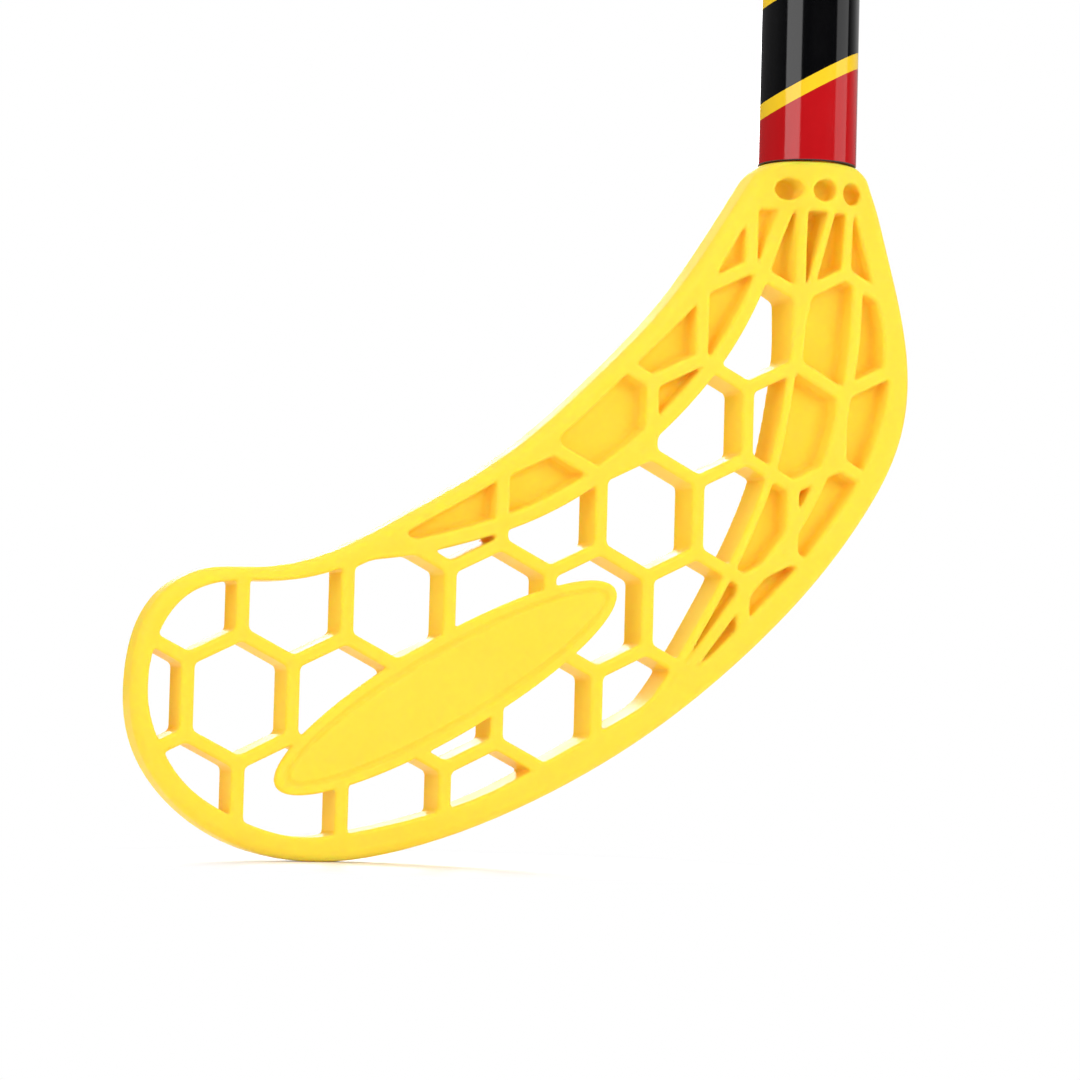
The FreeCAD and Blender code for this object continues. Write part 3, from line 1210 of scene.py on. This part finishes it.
@dataclass
class Studio:
    """Floor, soft light and camera."""

    floor_level: float = -0.8319
    floor_size: float = 6.0
    floor_shade: Pair = (0.03, 0.10)
    floor_place: Pair = (-0.100, 0.0)
    floor_colour: Colour = (0.95, 0.95, 0.95)
    floor_roughness: float = 0.35
    floor_specular: float = 0.3
    ambient: float = 0.20
    panel_dim: float = 0.03
    panel_behind: Pair = (-0.2, 0.4)
    panel_above: Pair = (0.12, 0.26)
    panel_beside: Pair = (-0.10, 0.20)
    panel_beside_share: Pair = (0.25, 1.0)
    lens: float = 123.33
    sensor: float = 36.0
    clip: Pair = (0.01, 50.0)
    place: Place = (-0.4425, -0.9043, -0.8002)
    right: Place = (0.9258, -0.3771, 0.0266)
    up: Place = (-0.0453, -0.0409, 0.9981)
    back: Place = (-0.3753, -0.9253, -0.0550)
    lamps: tuple[Lamp, ...] = (
        Lamp("left_lamp", (-1.60, -0.85, 0.00), (1.25, 1.6), 16.0),
        Lamp("right_lamp", (1.20, -0.75, -0.30), (0.9, 1.4), 5.0),
        Lamp("key_lamp", (1.05, -1.60, 0.10), (1.0, 1.0), 14.0, (-0.05, 0.0, -0.65), mirrored=False),
        Lamp("front_lamp", (0.05, -1.90, 0.20), (1.4, 0.5), 8.0),
        Lamp("edge_lamp", (0.36, 1.50, -0.25), (0.7, 0.4), 5.5, (-0.05, 0.0, -0.65)),
        Lamp("back_lamp", (-0.20, 1.70, 0.35), (1.6, 0.9), 16.0, mirrored=False),
        Lamp("top_lamp", (-0.25, 0.10, 0.85), (1.4, 1.4), 12.0),
    )

    def floor(self) -> None:
        """A pale floor under the blade, which keeps its shadow and fades to the white backdrop."""
        material, sheet = new_material("floor")
        place = sheet.add("ShaderNodeTexCoord").outputs["Object"]
        away = sheet.add("ShaderNodeVectorMath", {0: place}, operation="LENGTH").outputs["Value"]
        white = sheet.math("MULTIPLY", sheet.remap(away, self.floor_shade, UNIT),
                           sheet.math("MAXIMUM", *sheet.sight()))
        surface = sheet.add("ShaderNodeBsdfPrincipled", {
            "Base Color": rgba(self.floor_colour),
            "Roughness": self.floor_roughness,
            "Specular IOR Level": self.floor_specular,
        })
        glow = sheet.add("ShaderNodeEmission", {"Color": rgba(WHITE), "Strength": 1.0})
        mixed = sheet.add("ShaderNodeMixShader", {
            0: white, 1: surface.outputs[0], 2: glow.outputs[0],
        })
        sheet.add("ShaderNodeOutputMaterial", {"Surface": mixed.outputs[0]})
        half = self.floor_size / 2
        corners = np.array([(-half, -half, 0), (half, -half, 0), (half, half, 0), (-half, half, 0)])
        floor = new_piece("floor", corners, np.array([(0, 1, 2, 3)]), material)
        floor.location = (*self.floor_place, self.floor_level)
        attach(floor, Body.BLADE.value)

    def world(self) -> None:
        """Even light from all round, and a white backdrop for what is seen or mirrored."""
        world = bpy.data.worlds.new("studio")
        bpy.context.scene.world = world
        world.use_nodes = True
        world.node_tree.nodes.clear()
        sheet = NodeSheet(world.node_tree)
        seen, shiny = sheet.sight()
        way = sheet.add("ShaderNodeTexCoord").outputs["Generated"]
        axes = sheet.add("ShaderNodeSeparateXYZ", {0: way}).outputs
        behind = sheet.remap(axes["Y"], self.panel_behind, UNIT)
        above = sheet.remap(axes["Z"], self.panel_above, UNIT)
        beside = sheet.remap(axes["X"], self.panel_beside, self.panel_beside_share)
        panel = sheet.math("MULTIPLY", sheet.math("MULTIPLY", behind, above), beside)
        mirrored = sheet.remap(panel, UNIT, (self.panel_dim, 1.0))
        lit = sheet.add("ShaderNodeMix", {0: shiny, 2: self.ambient, 3: mirrored}).outputs[0]
        strength = sheet.math("MAXIMUM", seen, lit)
        light = sheet.add("ShaderNodeBackground", {"Color": rgba(WHITE), "Strength": strength})
        sheet.add("ShaderNodeOutputWorld", {"Surface": light.outputs[0]})

    def camera(self) -> None:
        """The camera, where the photograph was taken from."""
        lens = bpy.data.cameras.new("camera")
        lens.lens = self.lens
        lens.sensor_width = self.sensor
        lens.clip_start, lens.clip_end = self.clip
        camera = link(bpy.data.objects.new("camera", lens))
        columns = Matrix((self.right, self.up, self.back)).transposed().to_4x4()
        camera.matrix_world = Matrix.Translation(self.place) @ columns
        bpy.context.scene.camera = camera

    def build(self) -> None:
        """Sets the stage."""
        bpy.context.scene.view_settings.view_transform = "Standard"
        self.floor()
        self.world()
        for lamp in self.lamps:
            lamp.build()
        self.camera()


def main() -> None:
    """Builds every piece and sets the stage."""
    logging.basicConfig(level=logging.INFO, format="%(name)s: %(message)s")
    Blade(BladePlan()).dress()
    Shaft().dress()
    Grip().dress()
    EndCap().dress()
    Studio().build()
    bpy.context.view_layer.update()


if __name__ == "__main__":
    main()
